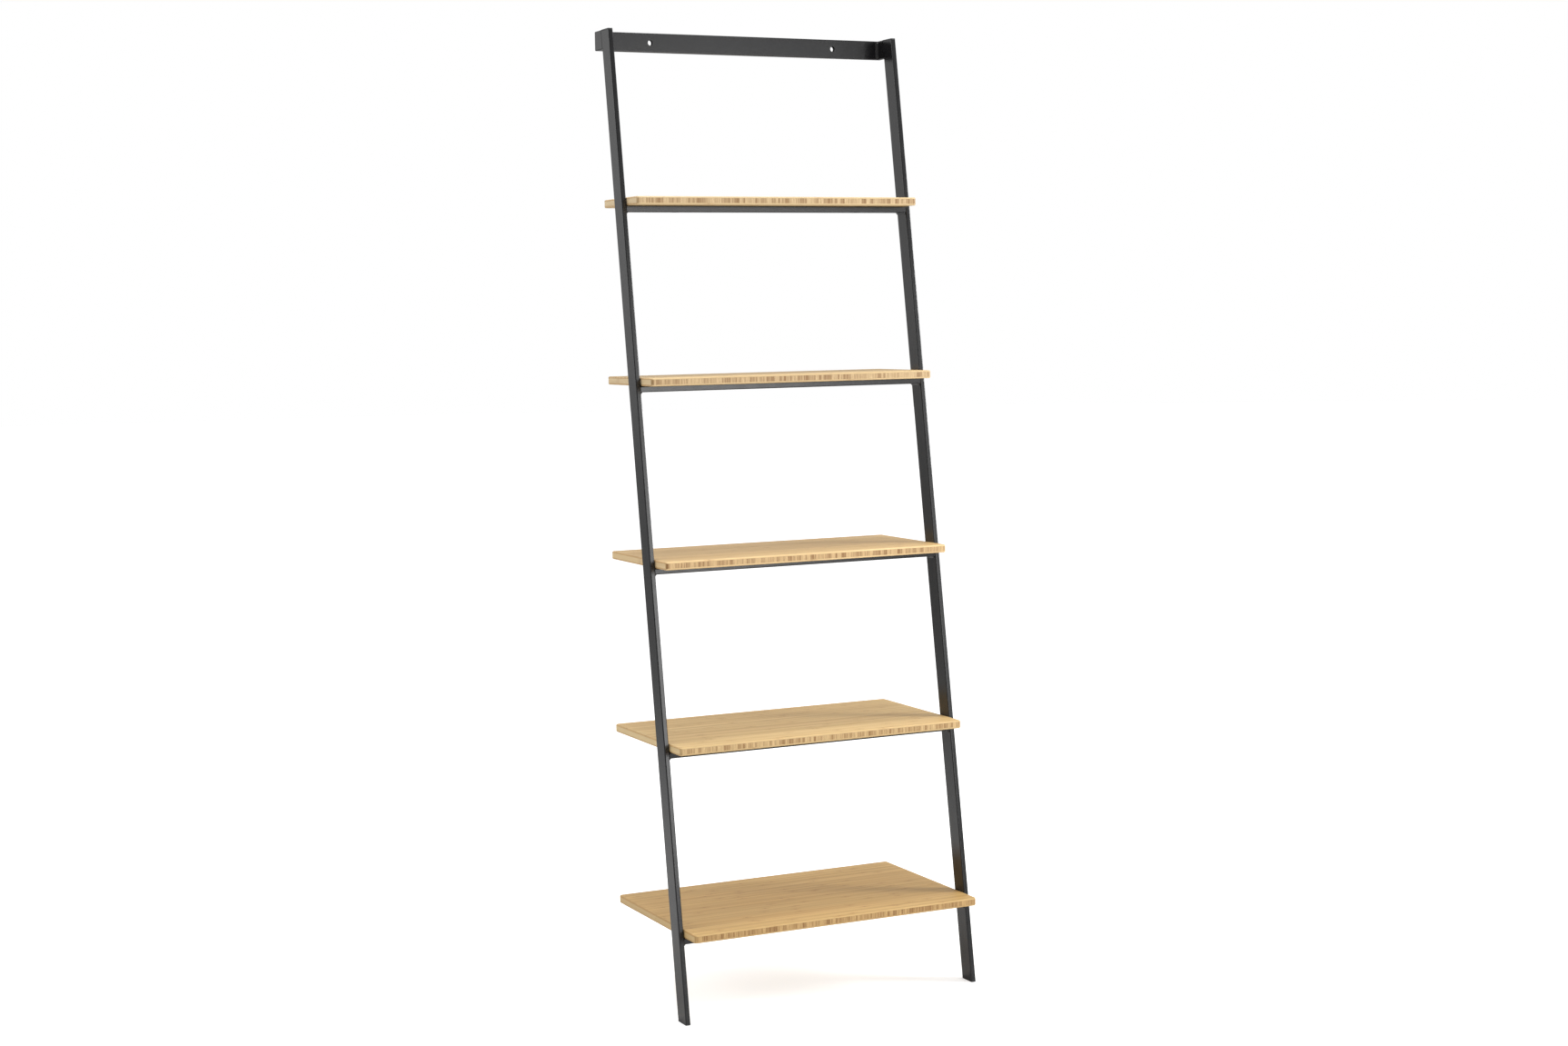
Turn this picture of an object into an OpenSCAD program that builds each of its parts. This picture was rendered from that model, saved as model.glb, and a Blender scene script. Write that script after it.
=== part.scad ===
// Leaning ladder shelf: two flat steel uprights that lean back to the wall, a wall bar
// that ties their tops together, and five bamboo boards, each bolted down on its own rail.
// +Z is up, the floor is z = 0, the front faces -Y and the wall is the plane y = depth / 2.

/* [Overall] */
// Height of the frame from the floor to the top caps
height = 1905; // [1850:5:2100]
// Width over the outer faces of the two uprights
width = 635; // [500:5:900]
// Depth from the wall to the front edge of the lowest board
depth = 381; // [360:1:450]
// Run of the uprights towards the wall for each unit of height
lean = 0.15; // [0.12:0.005:0.16]

/* [Steel frame] */
// Depth of the uprights' flat section, and height of the wall bar's
bar_depth = 38.1; // [34:0.1:45]
// Thickness of the uprights and of the wall bar
bar_thick = 10; // [9:0.1:14]
// Height of the cross rails under the boards
rail_height = 12; // [11:0.5:18]
// Wall thickness of the steel tubes
tube_wall = 1.5; // [1:0.1:2]
// Outer corner radius of the steel tubes
tube_radius = 2; // [1.2:0.1:3]
// Leg of the weld bead under each end of a rail and in the wall bar's inner corners
weld_leg = 4.5; // [2:0.5:5]
// Leg of the small weld bead under each wall arm
arm_weld_leg = 3; // [1.5:0.5:4]

/* [Boards] */
// Height of the lowest board's top face
first_top = 177.8; // [160:0.1:220]
// Rise from one board's top face to the next
shelf_pitch = 349.25; // [320:0.25:360]
// Thickness of a board
board_thick = 16; // [14:0.5:22]
// Reach of every board ahead of the uprights
overhang = 49; // [30:1:60]
// Gap between a board and the upright on each side
side_gap = 1; // [0.5:0.5:3]
// Radius of a board's corners seen from above
board_radius = 6; // [2:0.5:15]

/* [Wall holes] */
// Distance between the two screw holes in the wall bar
wall_hole_spacing = 406.4; // [300:0.1:450]
// Diameter of the screw holes
wall_hole_d = 11; // [6:0.5:14]

/* [Bolts and inserts] */
// Distance between the bolts along a rail
bolt_spacing = 400; // [200:5:450]
// Distance between the two rows of bolts
bolt_row_gap = 17; // [14:0.5:20]
// Diameter of a bolt's shank
bolt_d = 6; // [4:0.5:6]
// Diameter of a bolt's button head
head_d = 10.5; // [8:0.5:11]
// Height of a bolt's button head
head_h = 3.3; // [2:0.1:4]
// Diameter of the hole under the rail that the head passes through
access_d = 12; // [11.5:0.5:13]
// Outer diameter of a threaded insert
insert_d = 9; // [8:0.5:10]
// Length of a threaded insert, and depth of its pocket in the board
insert_h = 10; // [7:0.5:11]

/* [Plugs] */
// Thickness of a plug's lip, under each foot and on top of each upright
lip = 3; // [2:0.5:5]
// Length of the part of a plug that sits inside the tube
stub = 20; // [10:1:30]

/* [Hidden] */
$fn = 48;
SHELVES = 5;
STEEL = "#55575a";
BAMBOO = "#d0b189";
PLASTIC = "#1c1c1e";
ZINC = "#b8bcc0";
BRASS = "#b5904a";

fit = 0.1;                                        // play of a plug, bolt or insert
bolt_hole_play = 0.5;                             // how much wider a rail's bolt holes are than a bolt
lean_angle = atan(lean);
wall_y = depth / 2;
foot_front = overhang - wall_y - lean * (first_top - board_thick);
inner_width = width - 2 * bar_thick;
board_width = inner_width - 2 * side_gap;
bar_z = height - bar_depth / 2;                   // middle of the wall bar
corner_flat = tube_radius + 0.5;                  // from a tube's side to where a weld bead starts
arm_stock = 4 * bar_depth;                        // uncut length of a wall arm
hole_margin = 1;                                  // how far a cutting tool passes a face

// Shelf 1 is the lowest. Each board is shallower than the one below it by the run of the lean.
function board_top(shelf) = first_top + (shelf - 1) * shelf_pitch;
function board_bottom(shelf) = board_top(shelf) - board_thick;
function board_depth(shelf) = depth - (shelf - 1) * shelf_pitch * lean;
function upright_front(z) = foot_front + lean * z;
function upright_rear(z) = upright_front(z) + bar_depth / cos(lean_angle);
function rail_front(shelf) = upright_front(board_bottom(shelf) - rail_height / 2);
function rail_middle(shelf) = rail_front(shelf) + bar_depth / 2;

// ---- shared shapes ----

module rounded(w, h, r) {
    square([w - 2 * r, h], center = true);
    square([w, h - 2 * r], center = true);
    for (x = [-1, 1], y = [-1, 1])
        translate([x * (w / 2 - r), y * (h / 2 - r)]) circle(r);
}

module tube_outline(w, h) {
    rounded(w, h, tube_radius);
}

// Hollow inside a tube, smaller by play on every side
module tube_hollow(w, h, play = 0) {
    inset = 2 * (tube_wall + play);
    square([w - inset, h - inset], center = true);
}

module tube_section(w, h) {
    difference() {
        tube_outline(w, h);
        tube_hollow(w, h);
    }
}

// A right-hand shape, or its mirror image on the left
module on_side(side) {
    if (side > 0)
        children();
    else
        mirror([1, 0, 0]) children();
}

// Extrudes a section along the right upright's leaning line, cut level at both ends
module leaning(z_low, z_high) {
    intersection() {
        translate([(width - bar_thick) / 2, foot_front, 0])
            rotate([-lean_angle, 0, 0])
                translate([0, bar_depth / 2, z_low / cos(lean_angle) - bar_depth])
                    linear_extrude((z_high - z_low) / cos(lean_angle) + 2 * bar_depth)
                        children();
        translate([inner_width / 2 - hole_margin, -depth, z_low])
            cube([bar_thick + 2 * hole_margin, 2 * depth, z_high - z_low]);
    }
}

// Extrudes a section along X, with the section's width on Y and its height on Z
module across(length) {
    rotate([90, 0, 90]) linear_extrude(length, center = true) children();
}

// Everything behind the rear face of the uprights
module behind_uprights() {
    translate([0, foot_front, 0])
        rotate([-lean_angle, 0, 0])
            translate([-width, bar_depth, 0])
                cube([2 * width, 2 * depth, 2 * height]);
}

// The right wall arm's side of the mitred corner
module arm_side_of_mitre() {
    reach = 2 * arm_stock;
    translate([width / 2, wall_y, height - 2 * bar_depth])
        rotate([0, 0, -45])
            translate([0, -reach / 2, 0])
                cube([reach, reach, 3 * bar_depth]);
}

// Puts a copy at each of a board's four bolts, in the board's own plane
module at_bolts(shelf) {
    for (x = [-1, 1], y = [-1, 1])
        translate([x * bolt_spacing / 2, rail_middle(shelf) + y * bolt_row_gap / 2, 0])
            children();
}

// ---- steel frame ----

module upright(side) {
    color(STEEL) on_side(side)
        leaning(lip, height - lip) tube_section(bar_thick, bar_depth);
}

module wall_arm(side) {
    color(STEEL) on_side(side)
        intersection() {
            translate([(width - bar_thick) / 2, wall_y - arm_stock, bar_z])
                rotate([-90, 0, 0])
                    linear_extrude(arm_stock) tube_section(bar_thick, bar_depth);
            behind_uprights();
            arm_side_of_mitre();
        }
}

module wall_bar() {
    color(STEEL) difference() {
        translate([0, wall_y - bar_thick / 2, bar_z])
            across(width) tube_section(bar_thick, bar_depth);
        for (side = [-1, 1])
            on_side(side) arm_side_of_mitre();
        for (x = [-1, 1])
            translate([x * wall_hole_spacing / 2, wall_y + hole_margin, bar_z])
                rotate([90, 0, 0])
                    cylinder(d = wall_hole_d, h = bar_thick + 2 * hole_margin);
    }
}

module shelf_rail(shelf) {
    top = board_bottom(shelf);
    color(STEEL) difference() {
        translate([0, rail_middle(shelf), top - rail_height / 2])
            across(inner_width) tube_section(bar_depth, rail_height);
        at_bolts(shelf) {
            translate([0, 0, top - rail_height / 2])
                cylinder(d = bolt_d + bolt_hole_play, h = rail_height);
            translate([0, 0, top - rail_height - hole_margin])
                cylinder(d = access_d, h = rail_height / 2);
        }
    }
}

// One bead under each end of every rail, on the inner face of the upright
module rail_welds() {
    length = bar_depth - 2 * corner_flat;
    color(STEEL)
        for (shelf = [1 : SHELVES], side = [-1, 1])
            on_side(side)
                translate([inner_width / 2, rail_middle(shelf) + length / 2,
                           board_bottom(shelf) - rail_height])
                    rotate([90, 0, 0])
                        linear_extrude(length)
                            polygon([[0, 0], [-weld_leg, 0], [0, -weld_leg]]);
}

// One bead in each inner corner of the wall bar, and one under each wall arm
module wall_bar_welds() {
    corner_length = bar_depth - 2 * corner_flat;
    arm_width = bar_thick - 2 * corner_flat;
    arm_z = height - bar_depth;
    color(STEEL)
        for (side = [-1, 1])
            on_side(side) {
                translate([inner_width / 2, wall_y - bar_thick, arm_z + corner_flat])
                    linear_extrude(corner_length)
                        polygon([[0, 0], [-weld_leg, 0], [0, -weld_leg]]);
                translate([(width - bar_thick) / 2, 0, 0])
                    across(arm_width)
                        polygon([
                            [upright_rear(arm_z), arm_z],
                            [upright_rear(arm_z) + arm_weld_leg, arm_z],
                            [upright_rear(arm_z - arm_weld_leg), arm_z - arm_weld_leg]
                        ]);
            }
}

// ---- boards and their fixings ----

module shelf_board(shelf) {
    color(BAMBOO) difference() {
        translate([0, wall_y - board_depth(shelf) / 2, board_bottom(shelf)])
            linear_extrude(board_thick)
                rounded(board_width, board_depth(shelf), board_radius);
        at_bolts(shelf)
            translate([0, 0, board_bottom(shelf) - hole_margin])
                cylinder(d = insert_d + 2 * fit, h = insert_h + hole_margin);
    }
}

// Button-head bolts that clamp a board to the top wall of its rail from inside the rail
module shelf_bolts(shelf) {
    seat = board_bottom(shelf) - tube_wall;
    socket_d = 4.6;
    socket_depth = 2;
    color(ZINC) at_bolts(shelf)
        difference() {
            union() {
                translate([0, 0, seat - head_h]) cylinder(d = head_d, h = head_h);
                translate([0, 0, seat - head_h]) cylinder(d = bolt_d, h = head_h + insert_h);
            }
            translate([0, 0, seat - head_h - hole_margin])
                cylinder(d = socket_d, h = socket_depth + hole_margin, $fn = 6);
        }
}

// Threaded inserts with a groove round the middle, flush with the underside of the board
module shelf_inserts(shelf) {
    bore_r = bolt_d / 2 + fit;
    outer_r = insert_d / 2;
    groove_r = outer_r - 0.7;
    groove_low = 0.4 * insert_h;
    groove_high = 0.6 * insert_h;
    color(BRASS) at_bolts(shelf)
        translate([0, 0, board_bottom(shelf)])
            rotate_extrude()
                polygon([
                    [bore_r, 0], [outer_r, 0], [outer_r, groove_low],
                    [groove_r, groove_low], [groove_r, groove_high],
                    [outer_r, groove_high], [outer_r, insert_h], [bore_r, insert_h]
                ]);
}

// ---- plastic plugs ----

module foot_plug(side) {
    color(PLASTIC) on_side(side) {
        leaning(0, lip) tube_outline(bar_thick, bar_depth);
        leaning(lip, lip + stub) tube_hollow(bar_thick, bar_depth, fit);
    }
}

module top_cap(side) {
    color(PLASTIC) on_side(side) {
        leaning(height - lip, height) tube_outline(bar_thick, bar_depth);
        leaning(height - lip - stub, height - lip) tube_hollow(bar_thick, bar_depth, fit);
    }
}

upright(-1);  // left_upright
upright(1);  // right_upright
wall_bar();
wall_arm(-1);  // left_wall_arm
wall_arm(1);  // right_wall_arm
shelf_rail(1);  // shelf_rail_1
shelf_rail(2);  // shelf_rail_2
shelf_rail(3);  // shelf_rail_3
shelf_rail(4);  // shelf_rail_4
shelf_rail(5);  // shelf_rail_5
shelf_board(1);  // shelf_board_1
shelf_board(2);  // shelf_board_2
shelf_board(3);  // shelf_board_3
shelf_board(4);  // shelf_board_4
shelf_board(5);  // shelf_board_5
shelf_bolts(1);  // shelf_bolts_1
shelf_bolts(2);  // shelf_bolts_2
shelf_bolts(3);  // shelf_bolts_3
shelf_bolts(4);  // shelf_bolts_4
shelf_bolts(5);  // shelf_bolts_5
shelf_inserts(1);  // shelf_inserts_1
shelf_inserts(2);  // shelf_inserts_2
shelf_inserts(3);  // shelf_inserts_3
shelf_inserts(4);  // shelf_inserts_4
shelf_inserts(5);  // shelf_inserts_5
foot_plug(-1);  // left_foot_plug
foot_plug(1);  // right_foot_plug
top_cap(-1);  // left_top_cap
top_cap(1);  // right_top_cap
rail_welds();
wall_bar_welds();
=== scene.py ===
"""Looks of the leaning ladder shelf: bamboo boards, weld beads and finishes on the CAD frame.

Everything is in metres in the frame of the CAD model: +Z up, the floor at z = 0, the front
facing -Y and the wall at the plane of the wall bar's rear face. Shelf 1 is the lowest.
"""
import math
import bmesh
import bpy
from mathutils import Matrix, Vector


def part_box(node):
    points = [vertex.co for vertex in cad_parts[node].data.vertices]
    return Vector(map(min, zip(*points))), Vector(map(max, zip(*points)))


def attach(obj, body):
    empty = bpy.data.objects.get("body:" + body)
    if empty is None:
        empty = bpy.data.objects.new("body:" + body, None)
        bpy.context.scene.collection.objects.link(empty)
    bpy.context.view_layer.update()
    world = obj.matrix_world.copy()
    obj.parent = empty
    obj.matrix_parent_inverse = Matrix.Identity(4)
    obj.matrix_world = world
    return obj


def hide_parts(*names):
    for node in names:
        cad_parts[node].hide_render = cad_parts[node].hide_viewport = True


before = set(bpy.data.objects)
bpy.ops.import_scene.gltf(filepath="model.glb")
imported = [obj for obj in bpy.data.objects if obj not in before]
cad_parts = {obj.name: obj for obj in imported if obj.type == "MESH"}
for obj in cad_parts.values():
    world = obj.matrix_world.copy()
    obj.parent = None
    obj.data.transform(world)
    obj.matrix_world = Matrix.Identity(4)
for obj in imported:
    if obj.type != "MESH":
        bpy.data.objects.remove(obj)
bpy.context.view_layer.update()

SHELVES = range(1, 6)
SIDES = (-1, 1)

# Camera: place in metres, angles in degrees. Heading is measured from +Y towards +X.
CAMERA_PLACE = (-2.132, -4.401, 1.345)
CAMERA_HEADING = 25.719
CAMERA_TILT = -4.104
CAMERA_ROLL = -0.982
CAMERA_LENS = 56.716      # in millimetres, as is the sensor's width
CAMERA_SENSOR = 36.0
CAMERA_SHIFT_Y = -0.0206

# Boards
PLY = 0.0032              # thickness of each outer ply
HALF_BOARD = 0.008        # half the thickness of a board
EASE = 0.0026             # radius of the eased top and bottom edges
EASE_STEPS = 6
CORNER_RADIUS = 0.006     # radius of a board's corners seen from above
CORNER_STEPS = 8
INSERT_RADIUS = 0.0045
POCKET_PLAY = 0.0001      # between an insert and the wall of its pocket
POCKET_STEPS = 24
BOARD_TONES_AND_SHEEN = (           # each board's own tone, and on the upper boards a painted sheen that whitens them, from the lowest up
    (0.82, 0.78, 0.66),
    (0.97, 1.00, 1.00),
    (1.00, 1.01, 1.03),
    (0.97, 1.02, 1.12),
    (1.00, 1.07, 1.22),
)
# Offsets in metres that give each kind of ply, and with the shelf's number each board, its own grain
CORE_OFFSET = 7
PLY_OFFSET = 17
LOWER_PLY_OFFSET = 3
EDGE_HIGHLIGHT_LEAST = 0.45          # how strong the painted highlight on the front and back edges is, where 1 is the strongest
SIDE_EDGE_PAINTED_LIGHT = 0.55           # and how much stronger the painted light on the side edges is

# Bamboo pattern
STRIP = 0.006             # width of the strips that the plies are glued from
WANDER_RATE = 75.0        # how often the strips' widths change, in features for each metre
WANDER = 0.012            # and how far their edges move
CANE_PITCH = 0.23         # distance between the growth nodes of a strip
CANE_SHIFT = 9.0          # how far the nodes of the strips lie apart at most, in pitches
SLIVER = 0.0019           # width of the finer bands in the cut ends of the core
DRIFT_RATE = 210.0        # slower changes of tone across the cut ends, in features for each metre
TONE_DRAW = 3.0           # these three keep the draws of the strips and slivers apart
CANE_DRAW = 8.0
SLIVER_DRAW = 5.0
NODES_MISSING = 0.5       # share of the growth nodes that don't show
NODE_BAR_FADE = (0.035, 0.062)    # distances from a growth node in pitches over which its bar fades
NODE_LINE_FADE = (0.004, 0.02)    # and over which the dark line in it fades
SEAM_FADE = (0.46, 0.5)           # distances from a strip's middle in strips, where its seam grows
GLUE_FADE = (0.00012, 0.00035)    # distances from a glue plane over which its line fades

# Parts of the tone of the blocks in the cut ends
STRIP_PART = 0.4
SLIVER_PART = 0.22
DRIFT_PART = 0.38

# Noise features for each metre along the fibres, across them and up
FIBRE_STRETCH = (7.0, 900.0, 900.0)
STREAK_STRETCH = (2.5, 160.0, 160.0)
CLOUD_STRETCH = (1.6, 14.0, 14.0)
FINE_END_STRETCH = (0.0, 1500.0, 130.0)
BUNDLE_STRETCH = (0.0, 3200.0, 2400.0)

# Bamboo colours in sRGB steps
STRIP_DARK = (198, 164, 107)
STRIP_PALE = (226, 193, 136)
STREAK = (184, 147, 92)
FIBRE = (176, 137, 82)
CLOUD = (213, 172, 115)
NODE_BAR = (182, 139, 84)
NODE_LINE = (150, 106, 58)
# Colour of the painted highlight on the boards' edges and of the painted light on their sides
EDGE_HIGHLIGHT = (240, 218, 178)
END_PALE = (214, 181, 130)
END_DARK = (144, 105, 59)
END_FINE = (132, 92, 48)
BUNDLE = (104, 70, 36)
PLY_END_PALE = (210, 172, 118)
PLY_END_DARK = (165, 124, 74)
SEAM = (128, 90, 50)
GLUE = (120, 84, 46)

# How much of these colours covers what lies under them, at most
STREAK_SHARE = 0.6
FIBRE_SHARE = 0.45
CLOUD_SHARE = 0.35
NODE_BAR_SHARE = 0.38
NODE_LINE_SHARE = 0.32
# Painted highlight and painted light on the boards' edges
EDGE_HIGHLIGHT_SHARE = 0.35
END_FINE_SHARE = 0.45
BUNDLE_SHARE = 0.35
PLY_END_SHARE = 0.6
SEAM_SHARE = 0.22
GLUE_SHARE = 0.3

# Roughness at least and at most, and height of the relief in metres
COAT_ROUGHNESS = (0.20, 0.25)
COAT_RELIEF = 0.00005
SPECK_PART = 0.35         # height of the specks beside that of the orange peel
PLASTIC_ROUGHNESS = (0.42, 0.52)
PLASTIC_RELIEF = 0.00003
ZINC_ROUGHNESS = (0.22, 0.42)
BRASS_ROUGHNESS = (0.24, 0.4)
METAL_RELIEF = 0.00002
BAMBOO_ROUGHNESS = (0.48, 0.6)
BAMBOO_RELIEF = 0.00004
SEAM_DEPTH = 0.8          # depth of the seams beside the height of the fibres
FLOOR_ROUGHNESS = 0.9
FLOOR_RELIEF = 0.0001
LACQUER_IOR = 1.45

# Other colours in sRGB steps
ZINC_DARK = (188, 192, 198)
ZINC_PALE = (214, 216, 218)
BRASS_DARK = (176, 138, 74)
BRASS_PALE = (206, 170, 104)
BRASS_STRETCH = (60.0, 60.0, 9000.0)

# Linear colours
WHITE = (1, 1, 1, 1)
COAT_DARK = (0.006, 0.006, 0.0065, 1)
COAT_PALE = (0.010, 0.010, 0.0108, 1)
PLASTIC_DARK = (0.010, 0.010, 0.011, 1)
PLASTIC_PALE = (0.016, 0.016, 0.017, 1)
FLOOR_NEAR = (0.72, 0.72, 0.72, 1)
FLOOR_FAR = (0.44, 0.44, 0.44, 1)

# Welds
LEAN = 0.15               # run of the uprights for each unit of height
BEAD_LEG = 0.0045
ARM_BEAD_LEG = 0.003
BEAD_SETBACK = 0.0025     # from the edge of a tube to the end of a bead
BEAD_END = 0.0016         # length over which a bead's end rounds off
BEAD_END_SIZE = 0.12      # size of a bead at its very ends, as a share of its full size
BEAD_STEPS = 10           # points across a bead
FEWEST_RINGS = 12         # rings along a bead, however short it is
FLAT_SHARE = 0.7          # a bead's section is a flat fillet by this share
ROUND_SHARE = 0.3         # and a round one by this share
ROUND_DIP = 0.1           # how much the round one sinks in the middle
RIPPLE_PITCH = 0.0016
RIPPLE_RINGS = 6          # rings for each ripple
RIPPLE_SWEEP = 0.45       # how far the ripples curve across a bead, in pitches
RIPPLE_RISE = 0.07        # height of the ripples for each unit of leg
SHARP_ANGLE = 50          # degrees between faces from which a weld's edge stays sharp

# Studio. Its white is bright behind the object and dimmer towards the shaded side.
WORLD_LIGHT = 0.76
WORLD_SHADE = 0.25
SHADED_SIDE = (-0.39, -0.92, 0.0)    # direction to the front left
SHADE_FROM = 0.35         # cosines of the angle to the shaded side between which the white dims
SHADE_TO = 0.8
FLOOR_RADIUS = 30.0
FLOOR_STEPS = 96
FLOOR_DARKENS = (0.8, 5.0)      # distances from the origin between which the floor darkens
FLOOR_GLOWS = (0.2, 3.5)        # and between which its glow for the camera grows
FLOOR_GLOW_NEAR = 0.58
FLOOR_GLOW_FAR = 0.9

# Softboxes: name, place, target, width, height, radiance
SOFTBOXES = (
    ("front_light", (0.78, -2.8, 1.0), (0, 0, 1.0), 1.25, 1.2, 4.7),
    ("upper_front_light", (0.88, -2.8, 1.95), (0, 0, 1.6), 1.05, 0.7, 2.0),
    ("right_front_light", (1.58, -2.72, 1.5), (0, 0, 1.35), 0.36, 1.4, 2.3),
    ("key_light", (3.1, -1.65, 1.9), (0, 0, 0.8), 0.8, 0.9, 40.0),
    ("left_light", (-2.9, 0.9, 2.2), (0, 0, 1.0), 2.0, 1.5, 3.0),
    ("top_light", (0, -0.1, 4.0), (0, -0.1, 0), 1.2, 1.2, 14.0),
)


# ---- node graphs ----

class Graph:
    """Short calls for building the nodes of a material or a world."""

    def __init__(self, owner):
        self.owner = owner
        owner.use_nodes = True
        self.tree = owner.node_tree
        self.tree.nodes.clear()

    def put(self, socket, value):
        """Link a socket to a node's output, or set it to a plain value."""
        if isinstance(value, bpy.types.NodeSocket):
            self.tree.links.new(value, socket)
        else:
            socket.default_value = value

    def node(self, kind, inputs, **settings):
        """A new node. Inputs go by name or number, and settings are its other properties."""
        made = self.tree.nodes.new(kind)
        for key, value in settings.items():
            setattr(made, key, value)
        for key, value in inputs.items():
            self.put(made.inputs[key], value)
        return made

    def math(self, operation, *values):
        inputs = dict(enumerate(values))
        return self.node("ShaderNodeMath", inputs, operation=operation).outputs[0]

    def product(self, first, second):
        return self.math("MULTIPLY", first, second)

    def position(self):
        return self.node("ShaderNodeTexCoord", {}).outputs["Object"]

    def camera_ray(self):
        """1 for what the camera sees directly, and 0 for light and reflections."""
        return self.node("ShaderNodeLightPath", {}).outputs["Is Camera Ray"]

    def attribute(self, name, output):
        return self.node("ShaderNodeAttribute", {}, attribute_name=name).outputs[output]

    def split(self, vector):
        return self.node("ShaderNodeSeparateXYZ", {0: vector}).outputs

    def vector(self, x, y, z):
        return self.node("ShaderNodeCombineXYZ", {0: x, 1: y, 2: z}).outputs[0]

    def scaled(self, vector, factors):
        inputs = {0: vector, 1: factors}
        return self.node("ShaderNodeVectorMath", inputs, operation="MULTIPLY").outputs[0]

    def noise(self, vector, scale=1.0, detail=2.0, roughness=0.5):
        inputs = {"Vector": vector, "Scale": scale, "Detail": detail, "Roughness": roughness}
        return self.node("ShaderNodeTexNoise", inputs).outputs[0]

    def random(self, vector):
        return self.node("ShaderNodeTexWhiteNoise", {"Vector": vector}).outputs[0]

    def ramp(self, value, low, high, start=0.0, end=1.0):
        """Smooth change from start to end while value goes from low to high."""
        inputs = {0: value, 1: low, 2: high, 3: start, 4: end}
        return self.node("ShaderNodeMapRange", inputs, interpolation_type="SMOOTHSTEP").outputs[0]

    def mix(self, factor, first, second, blend="MIX"):
        """Colour that goes from first to second while the factor goes from 0 to 1."""
        made = self.node("ShaderNodeMix", {0: factor}, data_type="RGBA", blend_type=blend)
        self.put(made.inputs[6], first)
        self.put(made.inputs[7], second)
        return made.outputs[2]

    def stain(self, base, colour, value, low, high, share):
        """Colour over a base, up to a share that grows while value goes from low to high."""
        return self.mix(self.ramp(value, low, high, 0.0, share), base, linear(*colour))

    def bump(self, height, distance):
        inputs = {"Height": height, "Distance": distance, "Strength": 1.0}
        return self.node("ShaderNodeBump", inputs).outputs[0]

    def finish(self, colour, roughness, normal, metallic=0.0, ior=1.5, glow=0.0):
        """End the material's graph with its shader. Glow is the strength of a white emission."""
        shader = self.node("ShaderNodeBsdfPrincipled", {
            "Base Color": colour, "Roughness": roughness, "Normal": normal,
            "Metallic": metallic, "IOR": ior, "Emission Color": WHITE, "Emission Strength": glow})
        self.node("ShaderNodeOutputMaterial", {"Surface": shader.outputs[0]})
        return self.owner


def material_graph(name):
    return Graph(bpy.data.materials.new(name))


def linear(red, green, blue):
    """Linear colour from a colour in sRGB steps of 0 to 255."""
    def channel(step):
        """The sRGB curve of IEC 61966-2-1."""
        part = step / 255
        return part / 12.92 if part <= 0.04045 else ((part + 0.055) / 1.055) ** 2.4
    return (channel(red), channel(green), channel(blue), 1.0)


# ---- materials ----

def powder_coat():
    """Satin black powder coat with a fine orange peel."""
    graph = material_graph("powder_coated_steel")
    place = graph.position()
    cloud = graph.noise(place, scale=9.0, detail=3.0)
    colour = graph.mix(cloud, COAT_DARK, COAT_PALE)
    peel = graph.noise(place, scale=900.0, detail=1.5)
    speck = graph.noise(place, scale=2600.0, detail=1.0)
    roughness = graph.ramp(graph.noise(place, scale=45.0, detail=4.0), 0.3, 0.7, *COAT_ROUGHNESS)
    height = graph.math("ADD", peel, graph.product(speck, SPECK_PART))
    return graph.finish(colour, roughness, graph.bump(height, COAT_RELIEF))


def black_plastic():
    """Moulded black plastic with a fine even texture."""
    graph = material_graph("black_plastic")
    place = graph.position()
    grain = graph.noise(place, scale=3500.0)
    colour = graph.mix(graph.noise(place, scale=60.0), PLASTIC_DARK, PLASTIC_PALE)
    roughness = graph.ramp(grain, 0.3, 0.7, *PLASTIC_ROUGHNESS)
    return graph.finish(colour, roughness, graph.bump(grain, PLASTIC_RELIEF))


def zinc_plate():
    """Bright zinc plating with a slight haze."""
    graph = material_graph("zinc_plated_steel")
    place = graph.position()
    haze = graph.noise(place, scale=700.0, detail=4.0)
    colour = graph.mix(haze, linear(*ZINC_DARK), linear(*ZINC_PALE))
    roughness = graph.ramp(haze, 0.25, 0.75, *ZINC_ROUGHNESS)
    return graph.finish(colour, roughness, graph.bump(haze, METAL_RELIEF), metallic=1.0)


def turned_brass():
    """Brass with fine turning marks round an upright axis."""
    graph = material_graph("brass")
    place = graph.position()
    marks = graph.noise(graph.scaled(place, BRASS_STRETCH))
    colour = graph.mix(marks, linear(*BRASS_DARK), linear(*BRASS_PALE))
    roughness = graph.ramp(marks, 0.3, 0.7, *BRASS_ROUGHNESS)
    return graph.finish(colour, roughness, graph.bump(marks, METAL_RELIEF), metallic=1.0)


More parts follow.
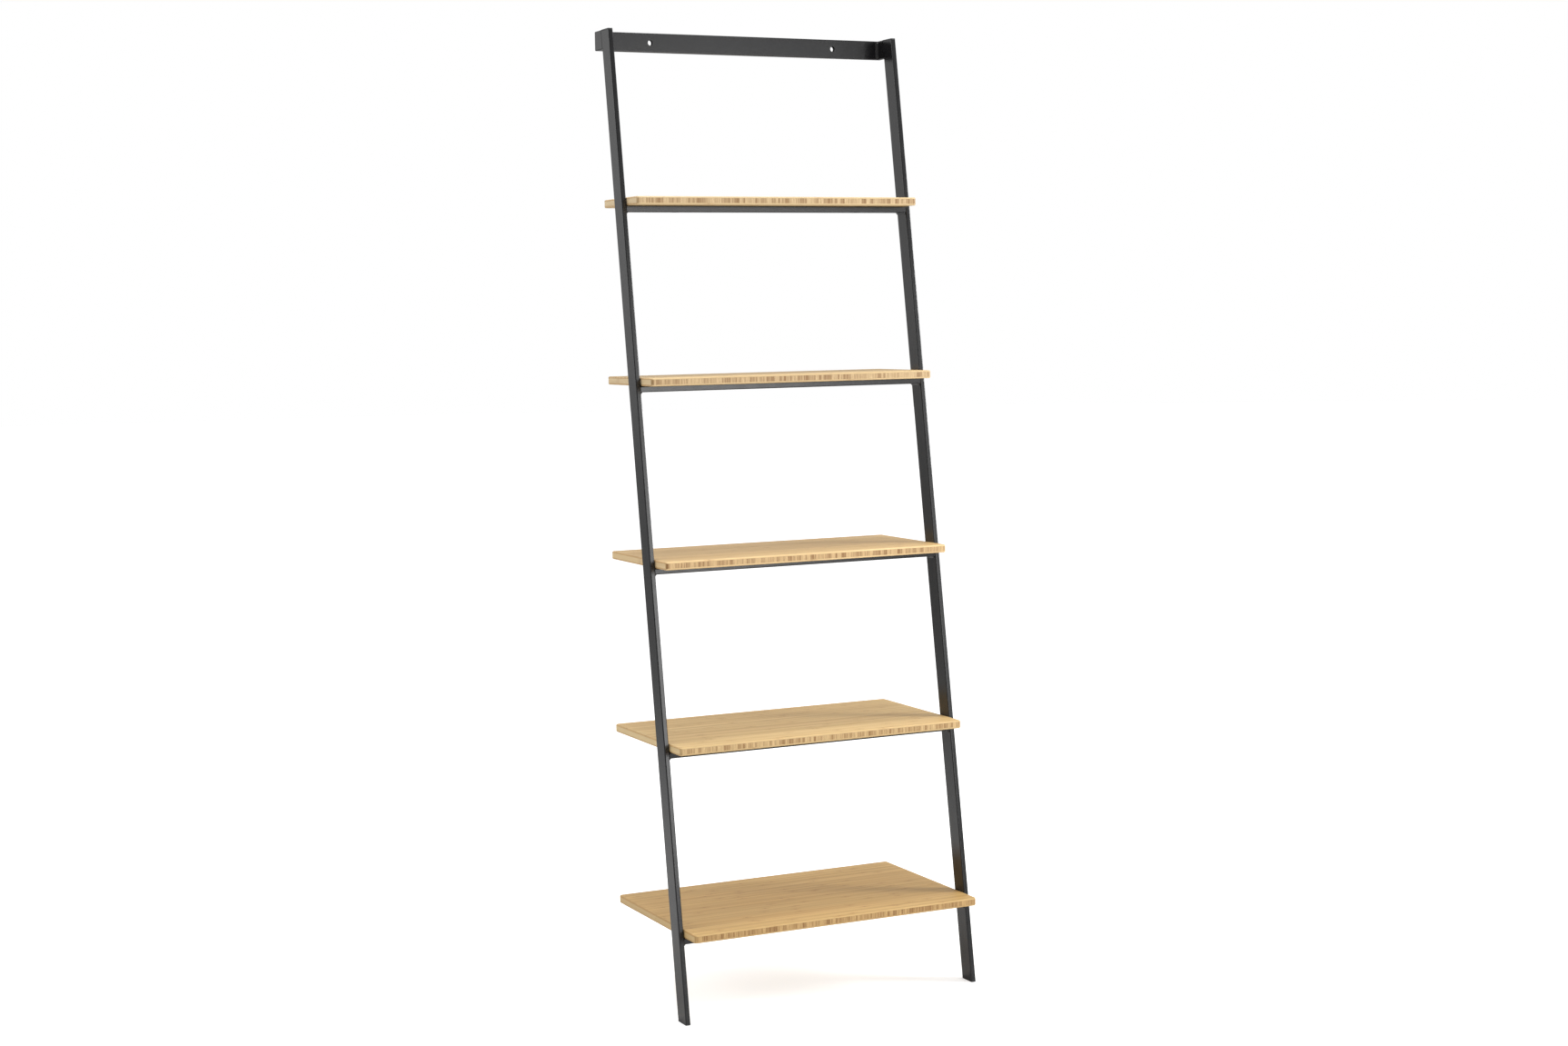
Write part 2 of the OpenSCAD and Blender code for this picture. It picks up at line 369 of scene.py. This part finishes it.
def bamboo():
    """Lacquered bamboo, driven by attributes of the boards' face corners. grain holds metres along
    the fibres, across them and up from the underside. core is 1 in the middle ply, end_grain is 1
    where the fibres are cut, rim is the strength of a painted highlight on a board's edge, and
    board_tone_and_sheen multiplies the colour of a whole board by its own tone and, on the upper
    boards, a painted sheen."""
    graph = material_graph("bamboo")
    grain = graph.attribute("grain", "Vector")
    core = graph.attribute("core", "Fac")
    # How strong the painted highlight on a board's edge is
    cut = graph.attribute("end_grain", "Fac")
    rim = graph.attribute("rim", "Fac")
    along, across, depth = graph.split(grain)

    # Strips: a tone for each, with uneven widths in the core
    wander = graph.noise(graph.vector(graph.product(across, WANDER_RATE), 0.0, 0.0), detail=1.0)
    wander = graph.product(graph.product(wander, core), WANDER)
    counted = graph.math("DIVIDE", graph.math("ADD", across, wander), STRIP)
    strip = graph.math("FLOOR", counted)
    inside = graph.math("FRACT", counted)
    tone = graph.random(graph.vector(strip, core, TONE_DRAW))
    other_tone = graph.random(graph.vector(strip, core, CANE_DRAW))

    # Growth nodes of the cane: short darker bars at uneven places along a strip
    cane = graph.math("DIVIDE", along, CANE_PITCH)
    cane = graph.math("ADD", cane, graph.product(other_tone, CANE_SHIFT))
    node_draw = graph.random(graph.vector(strip, graph.math("FLOOR", cane), core))
    present = graph.math("GREATER_THAN", node_draw, NODES_MISSING)
    off_node = graph.math("ABSOLUTE", graph.math("SUBTRACT", graph.math("FRACT", cane), 0.5))
    node_bar = graph.product(graph.ramp(off_node, *NODE_BAR_FADE, 1.0, 0.0), present)
    node_line = graph.product(graph.ramp(off_node, *NODE_LINE_FADE, 1.0, 0.0), present)

    # Fibres
    fibre = graph.noise(graph.scaled(grain, FIBRE_STRETCH), detail=4.0, roughness=0.65)
    streak = graph.noise(graph.scaled(grain, STREAK_STRETCH), detail=3.0, roughness=0.6)
    cloud = graph.noise(graph.scaled(grain, CLOUD_STRETCH))

    long_grain = graph.mix(tone, linear(*STRIP_DARK), linear(*STRIP_PALE))
    long_grain = graph.stain(long_grain, STREAK, streak, 0.3, 0.7, STREAK_SHARE)
    long_grain = graph.stain(long_grain, FIBRE, fibre, 0.5, 0.8, FIBRE_SHARE)
    long_grain = graph.stain(long_grain, CLOUD, cloud, 0.4, 0.8, CLOUD_SHARE)
    # Growth nodes, then the painted highlight on the edges and the painted light on the side edges
    marks = (
        (node_bar, NODE_BAR_SHARE, NODE_BAR),
        (node_line, NODE_LINE_SHARE, NODE_LINE),
        (rim, EDGE_HIGHLIGHT_SHARE, EDGE_HIGHLIGHT),
    )
    for mark, share, mark_colour in marks:
        long_grain = graph.mix(graph.product(mark, share), long_grain, linear(*mark_colour))

    # Cut ends of the fibres: blocks from pale tan to brown, with dark bundles
    fine = graph.noise(graph.scaled(grain, FINE_END_STRETCH), detail=3.0, roughness=0.7)
    bundles = graph.noise(graph.scaled(grain, BUNDLE_STRETCH), detail=1.0)
    sliver = graph.math("FLOOR", graph.math("DIVIDE", across, SLIVER))
    sliver_tone = graph.random(graph.vector(sliver, core, SLIVER_DRAW))
    drift = graph.noise(graph.vector(graph.product(across, DRIFT_RATE), core, 0.0), detail=3.0)
    drift = graph.ramp(drift, 0.3, 0.7)
    block_tone = graph.product(tone, STRIP_PART)
    block_tone = graph.math("ADD", block_tone, graph.product(sliver_tone, SLIVER_PART))
    block_tone = graph.math("ADD", block_tone, graph.product(drift, DRIFT_PART))
    ends = graph.mix(graph.ramp(block_tone, 0.25, 0.85), linear(*END_PALE), linear(*END_DARK))
    ends = graph.stain(ends, END_FINE, fine, 0.35, 0.75, END_FINE_SHARE)
    ends = graph.stain(ends, BUNDLE, bundles, 0.58, 0.75, BUNDLE_SHARE)
    ply_ends = linear(*PLY_END_PALE)
    ply_ends = graph.stain(ply_ends, PLY_END_DARK, fine, 0.35, 0.75, PLY_END_SHARE)
    ends = graph.mix(core, ply_ends, ends)

    colour = graph.mix(graph.ramp(cut, 0.35, 0.75), long_grain, ends)

    # Glue lines between strips and between plies
    seam = graph.math("ABSOLUTE", graph.math("SUBTRACT", inside, 0.5))
    seam = graph.ramp(seam, *SEAM_FADE, 0.0, SEAM_SHARE)
    colour = graph.mix(seam, colour, linear(*SEAM))
    mirrored = graph.math("PINGPONG", depth, HALF_BOARD)
    glue = graph.math("ABSOLUTE", graph.math("SUBTRACT", mirrored, PLY))
    glue = graph.ramp(glue, *GLUE_FADE, GLUE_SHARE, 0.0)
    colour = graph.mix(glue, colour, linear(*GLUE))

    # Each board's own tone, with a painted sheen on the upper boards
    colour = graph.mix(1.0, colour, graph.attribute("board_tone_and_sheen", "Vector"), blend="MULTIPLY")

    height = graph.math("SUBTRACT", fibre, graph.product(seam, SEAM_DEPTH))
    roughness = graph.ramp(fibre, 0.3, 0.8, *BAMBOO_ROUGHNESS)
    return graph.finish(colour, roughness, graph.bump(height, BAMBOO_RELIEF), ior=LACQUER_IOR)


# ---- objects ----

def add_object(name, data):
    """A new object of the scene made from a mesh, a light or a camera."""
    made = bpy.data.objects.new(name, data)
    bpy.context.scene.collection.objects.link(made)
    return made


def mesh_object(name, mesh, material):
    """A new object made from a bmesh, which this uses up."""
    data = bpy.data.meshes.new(name)
    mesh.to_mesh(data)
    mesh.free()
    data.materials.append(material)
    return add_object(name, data)


# ---- boards ----

def outline(half_width, front, back, radius):
    """Points round a rounded rectangle, each with its outward direction."""
    points = []
    corners = ((1, back, 0), (-1, back, 90), (-1, front, 180), (1, front, 270))
    for side, edge, first_angle in corners:
        centre_x = side * (half_width - radius)
        centre_y = edge - math.copysign(radius, edge - (front + back) / 2)
        for step in range(CORNER_STEPS + 1):
            angle = math.radians(first_angle + 90 * step / CORNER_STEPS)
            outward = Vector((math.cos(angle), math.sin(angle), 0))
            points.append((Vector((centre_x, centre_y, 0)) + outward * radius, outward))
    return points


def board_profile(thick):
    """(inset, height, upward tilt of the surface) from the underside to the top face."""
    lower = []
    for step in range(EASE_STEPS + 1):
        angle = math.pi / 2 * step / EASE_STEPS
        inset = EASE * (1 - math.sin(angle))
        height = EASE * (1 - math.cos(angle))
        lower.append((inset, height, angle - math.pi / 2))
    lower.append((0.0, PLY, 0.0))
    upper = [(inset, thick - height, -tilt) for inset, height, tilt in reversed(lower)]
    return lower + upper


def circle(mesh, x, y, z, radius):
    """Vertices round a level circle."""
    turns = [2 * math.pi * step / POCKET_STEPS for step in range(POCKET_STEPS)]
    return [mesh.verts.new((x + radius * math.cos(turn), y + radius * math.sin(turn), z))
            for turn in turns]


def insert_pockets(mesh, shelf, underside):
    """Closed pockets for the inserts. Returns their rims in the underside."""
    low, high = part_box(f"shelf_inserts_{shelf}")
    rims = []
    for x in (low.x + INSERT_RADIUS, high.x - INSERT_RADIUS):
        for y in (low.y + INSERT_RADIUS, high.y - INSERT_RADIUS):
            rim = circle(mesh, x, y, underside, INSERT_RADIUS + POCKET_PLAY)
            end = circle(mesh, x, y, high.z, INSERT_RADIUS + POCKET_PLAY)
            for step in range(POCKET_STEPS):
                after = (step + 1) % POCKET_STEPS
                mesh.faces.new((rim[after], rim[step], end[step], end[after]))
            mesh.faces.new(list(reversed(end)))
            rims.append(rim)
    return rims


def loop_edges(mesh, ring):
    """The edges of a closed ring of vertices. Those that are missing are made."""
    made = []
    for first, second in zip(ring, ring[1:] + ring[:1]):
        edge = mesh.edges.get((first, second)) or mesh.edges.new((first, second))
        made.append(edge)
    return made


def board_faces(mesh, shelf, low, high):
    """Build the faces of a board. Returns {face: whether it lies in the core} for those round its
    edge, and {vertex: outward direction} for their vertices."""
    outward_at = {}
    rings = []
    for inset, height, tilt in board_profile(high.z - low.z):
        ring = []
        loop = outline(high.x - inset, low.y + inset, high.y - inset, CORNER_RADIUS - inset)
        for point, outward in loop:
            vertex = mesh.verts.new((point.x, point.y, low.z + height))
            outward_at[vertex] = outward * math.cos(tilt) + Vector((0, 0, math.sin(tilt)))
            ring.append(vertex)
        rings.append(ring)
    in_core = {}
    for level, (below, above) in enumerate(zip(rings, rings[1:])):
        for step in range(len(below)):
            after = (step + 1) % len(below)
            face = mesh.faces.new((below[step], below[after], above[after], above[step]))
            in_core[face] = level == EASE_STEPS + 1
    mesh.faces.new(rings[-1])
    edges = loop_edges(mesh, rings[0])
    for rim in insert_pockets(mesh, shelf, low.z):
        edges += loop_edges(mesh, rim)
    filled = bmesh.ops.triangle_fill(mesh, use_beauty=True, use_dissolve=False, edges=edges)
    for face in filled["geom"]:
        if isinstance(face, bmesh.types.BMFace) and face.normal.z > 0:
            face.normal_flip()
    return in_core, outward_at


def shelf_board(shelf, material):
    """The visual board of one shelf, with the attributes that the bamboo material reads."""
    low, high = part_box(f"shelf_board_{shelf}")
    mesh = bmesh.new()
    in_core, outward_at = board_faces(mesh, shelf, low, high)
    grain = mesh.loops.layers.float_vector.new("grain")
    core = mesh.loops.layers.float.new("core")
    end_grain = mesh.loops.layers.float.new("end_grain")
    # rim holds the strength of a painted highlight on the edges
    rim = mesh.loops.layers.float.new("rim")
    # Each board's own tone, with a painted sheen on the upper boards
    board_tone_and_sheen = mesh.loops.layers.float_vector.new("board_tone_and_sheen")
    mesh.normal_update()
    normals = []
    for face in mesh.faces:
        face.smooth = True
        on_edge = face in in_core
        for loop in face.loops:
            spot = loop.vert.co
            normal = outward_at[loop.vert] if on_edge else face.normal.copy()
            height = spot.z - low.z
            if in_core.get(face, False):
                loop[grain] = (spot.y + shelf, spot.x + CORE_OFFSET + shelf, height)
                loop[end_grain] = abs(normal.y)
                loop[core] = 1.0
            else:
                ply_offset = 0 if height > HALF_BOARD else LOWER_PLY_OFFSET
                along = spot.x + shelf + ply_offset
                loop[grain] = (along, spot.y + PLY_OFFSET + 2 * shelf, height)
                loop[end_grain] = abs(normal.x)
                loop[core] = 0.0
            # Painted highlight on every edge face, with more painted light on the side edges
            loop[rim] = EDGE_HIGHLIGHT_LEAST + SIDE_EDGE_PAINTED_LIGHT * abs(normal.x) if on_edge else 0.0
            loop[board_tone_and_sheen] = BOARD_TONES_AND_SHEEN[shelf - 1]
            normals.append(normal.normalized())
    board = mesh_object(f"bamboo_board_{shelf}", mesh, material)
    board.data.normals_split_custom_set(normals)
    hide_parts(f"shelf_board_{shelf}")
    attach(board, "root")


# ---- welds ----

def bead(mesh, start, end, first, second, leg):
    """A rippled fillet weld from start to end, in a corner whose faces run along first and second."""
    run = end - start
    length = run.length
    steps = max(FEWEST_RINGS, round(length / RIPPLE_PITCH * RIPPLE_RINGS))
    rings = []
    for step in range(steps + 1):
        place = length * step / steps
        from_end = min(place, length - place)
        swell = math.sqrt(max(0.0, 1 - (1 - min(1.0, from_end / BEAD_END)) ** 2))
        swell = BEAD_END_SIZE + (1 - BEAD_END_SIZE) * swell
        root = start + run * (place / length)
        ring = [mesh.verts.new(root)]
        for point in range(BEAD_STEPS + 1):
            angle = math.pi / 2 * point / BEAD_STEPS
            flat = 1 / (math.cos(angle) + math.sin(angle))
            bulge = math.sin(2 * angle)
            ripple = abs(math.sin(math.pi * (place / RIPPLE_PITCH + RIPPLE_SWEEP * bulge)))
            section = FLAT_SHARE * flat + ROUND_SHARE * (1 - ROUND_DIP * bulge)
            reach = leg * swell * (section + RIPPLE_RISE * bulge * (ripple - 0.5))
            offset = (first * math.cos(angle) + second * math.sin(angle)) * reach
            ring.append(mesh.verts.new(root + offset))
        rings.append(ring)
    for before, after in zip(rings, rings[1:]):
        for point in range(len(before)):
            beside = (point + 1) % len(before)
            mesh.faces.new((before[point], before[beside], after[beside], after[point]))
    mesh.faces.new(rings[0])
    mesh.faces.new(list(reversed(rings[-1])))


def weld_object(name, node, mesh, material):
    """Turn a bmesh of beads into the visual object of one CAD node."""
    bmesh.ops.recalc_face_normals(mesh, faces=mesh.faces)
    for face in mesh.faces:
        face.smooth = True
    made = mesh_object(name, mesh, material)
    made.data.set_sharp_from_angle(angle=math.radians(SHARP_ANGLE))
    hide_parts(node)
    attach(made, "root")


def rail_beads(material):
    """A bead under both ends of every rail, along the upright."""
    mesh = bmesh.new()
    for shelf in SHELVES:
        low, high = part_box(f"shelf_rail_{shelf}")
        for side in SIDES:
            front = Vector((side * high.x, low.y + BEAD_SETBACK, low.z))
            back = Vector((side * high.x, high.y - BEAD_SETBACK, low.z))
            bead(mesh, front, back, Vector((-side, 0, 0)), Vector((0, 0, -1)), BEAD_LEG)
    weld_object("rail_weld_beads", "rail_welds", mesh, material)


def wall_bar_beads(material):
    """A bead in the corner between the wall bar and each arm, and one under each arm where it meets
    its upright."""
    mesh = bmesh.new()
    low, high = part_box("wall_bar")
    inner_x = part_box("shelf_rail_1")[1].x
    arm_low, arm_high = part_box("right_wall_arm")
    down = Vector((0, -LEAN, -1)).normalized()
    for side in SIDES:
        foot = Vector((side * inner_x, low.y, low.z + BEAD_SETBACK))
        head = Vector((side * inner_x, low.y, high.z - BEAD_SETBACK))
        bead(mesh, foot, head, Vector((-side, 0, 0)), Vector((0, -1, 0)), BEAD_LEG)
        inner = Vector((side * (arm_low.x + BEAD_SETBACK), arm_low.y, arm_low.z))
        outer = Vector((side * (arm_high.x - BEAD_SETBACK), arm_low.y, arm_low.z))
        bead(mesh, inner, outer, Vector((0, 1, 0)), down, ARM_BEAD_LEG)
    weld_object("wall_bar_weld_beads", "wall_bar_welds", mesh, material)


# ---- stage, lights and camera ----

def floor():
    """A matt pale floor that darkens away from the object. Only for the camera it also glows, and
    so it fades to the white of the background."""
    graph = material_graph("floor_paint")
    place = graph.position()
    away = graph.node("ShaderNodeVectorMath", {0: place}, operation="LENGTH").outputs["Value"]
    colour = graph.mix(graph.ramp(away, *FLOOR_DARKENS), FLOOR_NEAR, FLOOR_FAR)
    height = graph.noise(place, scale=300.0)
    glow = graph.ramp(away, *FLOOR_GLOWS, FLOOR_GLOW_NEAR, FLOOR_GLOW_FAR)
    glow = graph.product(graph.camera_ray(), glow)
    relief = graph.bump(height, FLOOR_RELIEF)
    paint = graph.finish(colour, FLOOR_ROUGHNESS, relief, glow=glow)
    mesh = bmesh.new()
    bmesh.ops.create_circle(mesh, cap_ends=True, segments=FLOOR_STEPS, radius=FLOOR_RADIUS)
    made = mesh_object("floor", mesh, paint)


def surroundings():
    """A white studio: bright behind the object, dimmer towards the front left. The camera itself
    sees plain white."""
    graph = Graph(bpy.data.worlds.new("studio"))
    facing = graph.node("ShaderNodeTexCoord", {}).outputs["Generated"]
    inputs = {0: facing, 1: Vector(SHADED_SIDE).normalized()}
    facing = graph.node("ShaderNodeVectorMath", inputs, operation="DOT_PRODUCT").outputs["Value"]
    strength = graph.ramp(facing, SHADE_FROM, SHADE_TO, WORLD_LIGHT, WORLD_SHADE)
    inputs = {"Factor": graph.camera_ray(), "A": strength, "B": 1.0}
    strength = graph.node("ShaderNodeMix", inputs).outputs["Result"]
    background = graph.node("ShaderNodeBackground", {"Color": WHITE, "Strength": strength})
    graph.node("ShaderNodeOutputWorld", {"Surface": background.outputs[0]})
    bpy.context.scene.world = graph.owner


def softbox(name, place, target, width, height, radiance):
    """A soft rectangular light of an even radiance, seen only by what it lights."""
    data = bpy.data.lights.new(name, "AREA")
    data.shape = "RECTANGLE"
    data.size = width
    data.size_y = height
    data.energy = radiance * math.pi * width * height
    made = add_object(name, data)
    made.location = place
    direction = Vector(target) - Vector(place)
    made.rotation_euler = direction.to_track_quat("-Z", "Y").to_euler()
    made.visible_camera = False


def camera():
    """A camera to the front left of the object that looks slightly down."""
    heading = math.radians(CAMERA_HEADING)
    tilt = math.radians(CAMERA_TILT)
    level = math.cos(tilt)
    ahead = Vector((math.sin(heading) * level, math.cos(heading) * level, math.sin(tilt)))
    right = Vector((math.cos(heading), -math.sin(heading), 0))
    up = right.cross(ahead)
    upright = Matrix((right, up, -ahead)).transposed()
    data = bpy.data.cameras.new("camera")
    data.sensor_width = CAMERA_SENSOR
    data.lens = CAMERA_LENS
    data.shift_y = CAMERA_SHIFT_Y
    made = add_object("camera", data)
    turned = upright @ Matrix.Rotation(math.radians(CAMERA_ROLL), 3, "Z")
    made.matrix_world = Matrix.Translation(CAMERA_PLACE) @ turned.to_4x4()
    bpy.context.scene.camera = made


# ---- the scene ----

camera()
surroundings()
for name, place, target, width, height, radiance in SOFTBOXES:
    softbox(name, place, target, width, height, radiance)
floor()

steel = powder_coat()
plastic = black_plastic()
zinc = zinc_plate()
brass = turned_brass()
wood = bamboo()

finishes = {
    "foot_plug": plastic,
    "top_cap": plastic,
    "shelf_bolts": zinc,
    "shelf_inserts": brass,
}
for name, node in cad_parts.items():
    finish = next((made for key, made in finishes.items() if key in name), steel)
    for slot in node.material_slots:
        slot.material = finish

for shelf in SHELVES:
    shelf_board(shelf, wood)
rail_beads(steel)
wall_bar_beads(steel)

bpy.context.scene.view_settings.view_transform = "Standard"
